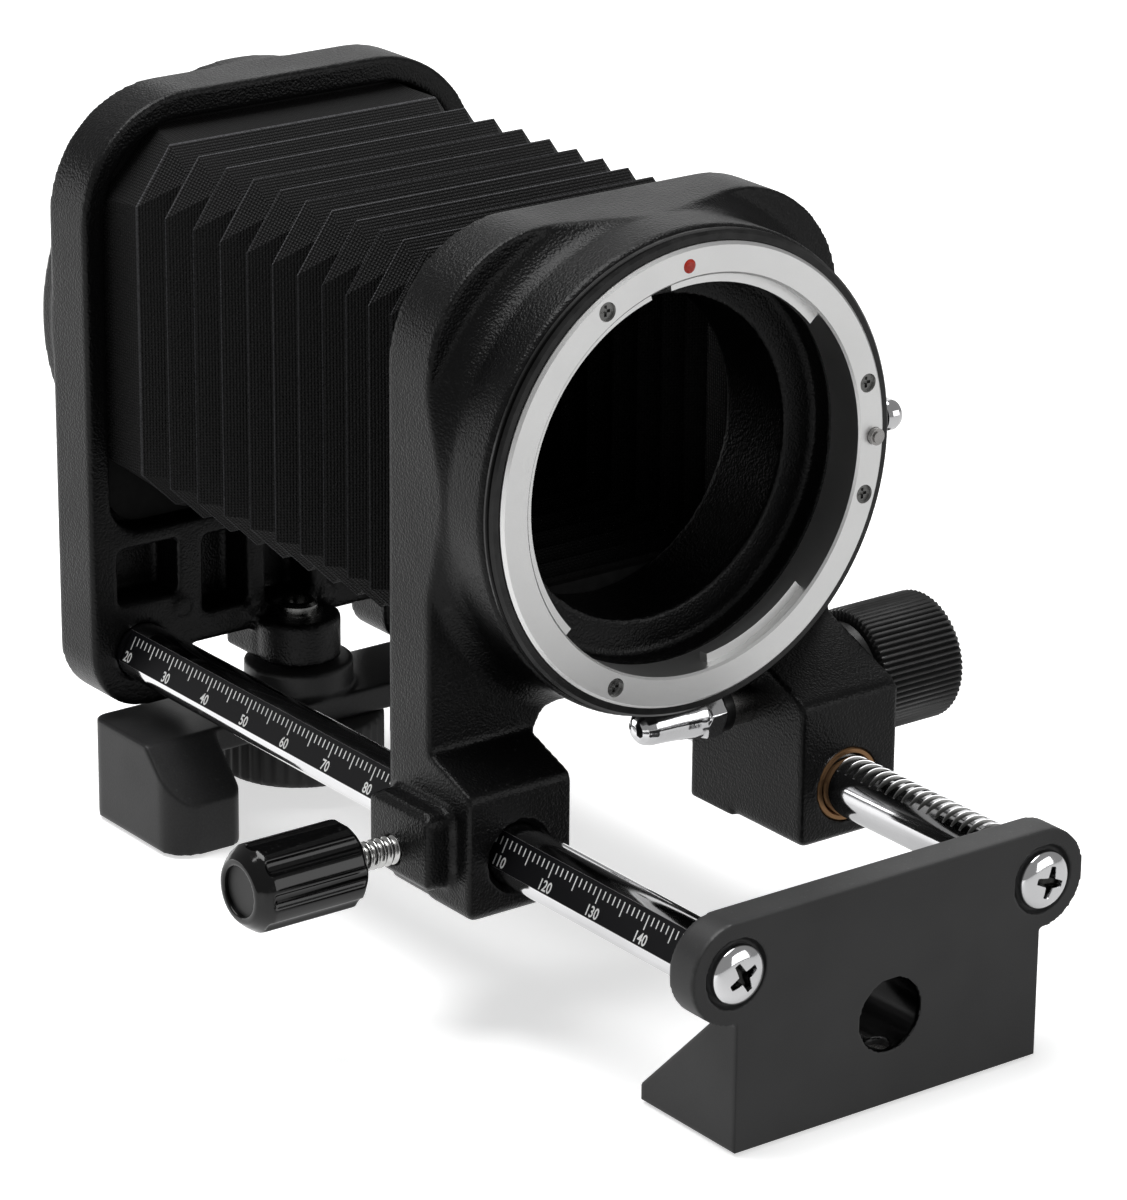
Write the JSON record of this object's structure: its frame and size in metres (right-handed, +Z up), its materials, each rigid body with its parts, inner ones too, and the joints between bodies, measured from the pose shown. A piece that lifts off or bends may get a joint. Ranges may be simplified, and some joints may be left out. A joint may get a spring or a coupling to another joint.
{
  "type": "macro bellows unit",
  "caption": "Macro bellows: a lens standard runs by rack and pinion on paired rods ahead of a camera standard, joined by a pleated cloth bellows.",
  "frame": {"origin": "middle of the resting face under the front end plate, in the plane of the optical axis", "axes": "+Z up; the lens looks along -Y and the camera goes on at the +Y end; +X is to the right seen from the lens side"},
  "size_m": [0.1102, 0.1575, 0.1059],
  "materials": {
    "cast_black": "black crinkle paint on die-cast alloy",
    "anodised_black": "matt black anodised",
    "knob_black": "black anodised with a fine straight knurl",
    "chrome_bright": "polished chrome plate",
    "scale_chrome": "polished chrome plate with a black filled scale flat",
    "satin_chrome": "satin chrome with polished edges",
    "steel": "plain bright steel",
    "brass": "turned brass",
    "black_gloss": "glossy black moulded plastic",
    "cap_grey": "matt dark disc",
    "wheel_black": "matt black, fluted rim",
    "seat_black": "satin black",
    "frame_black": "matt black",
    "bellows_cloth": "black rubberised woven cloth, pleated",
    "index_red": "red enamel",
    "washer_black": "black friction washer"
  },
  "bodies": {
    "base": {"rear_standard": "cast_black", "scale_rod": "scale_chrome", "rack_rod": "chrome_bright", "end_plate": "anodised_black", "end_plate_screws": "chrome_bright", "accessory_grub_screw": "steel", "bellows_cloth": "bellows_cloth", "bellows_rear_frame": "frame_black", "camera_ring": "satin_chrome", "camera_ring_screws": "steel", "swivel_bolt": "steel"},
    "carriage": {"front_standard": "cast_black", "rod_bushes": "brass", "bellows_front_frame": "frame_black", "seat_ring": "seat_black", "lens_ring": "satin_chrome", "lens_ring_screws": "steel", "index_dot": "index_red", "shaft_collar": "chrome_bright", "pinion_cover": "seat_black", "lock_pin_spring": "steel"},
    "drive": {"drive_shaft": "steel", "drive_pinion": "brass", "drive_knob": "knob_black", "drive_cap_nut": "chrome_bright", "drive_washer": "washer_black"},
    "clamp": {"clamp_screw": "chrome_bright", "clamp_knob": "black_gloss", "clamp_knob_cap": "cap_grey"},
    "lens_lock": {"lens_lock_pin": "steel", "release_knob": "chrome_bright"},
    "foot": {"rear_foot": "anodised_black"},
    "foot_wheel": {"foot_lock_wheel": "wheel_black"}
  },
  "joints": [
    {"name": "standard_slide", "type": "slide", "parent": "base", "child": "carriage", "axis": [0, -1, 0], "range_m": [-0.045, 0.034], "deforming": ["bellows_cloth"]},
    {"name": "drive_turn", "type": "hinge", "parent": "carriage", "child": "drive", "pos_m": [0.02, 0.0426, 0.03445], "axis": [1, 0, 0], "range_deg": [-430, 325]},
    {"name": "clamp_turn", "type": "hinge", "parent": "carriage", "child": "clamp", "pos_m": [-0.05, 0.0472, 0.0247], "axis": [-1, 0, 0], "range_deg": [0, 360]},
    {"name": "lens_release", "type": "slide", "parent": "carriage", "child": "lens_lock", "axis": [0, 1, 0], "range_m": [0, 0.0018], "stiffness_N_per_m": 400, "springref_m": -0.003, "deforming": ["lock_pin_spring"]},
    {"name": "foot_swivel", "type": "hinge", "parent": "base", "child": "foot", "pos_m": [0, 0.1247, 0.0127], "axis": [0, 0, 1], "range_deg": [-90, 90]},
    {"name": "foot_lock_turn", "type": "hinge", "parent": "base", "child": "foot_wheel", "pos_m": [0, 0.1247, 0.0067], "axis": [0, 0, -1], "range_deg": [0, 360]}
  ],
  "couplings": [
    {"joint": "drive_turn", "follows": "standard_slide", "rad_per_m": 164.57}
  ]
}
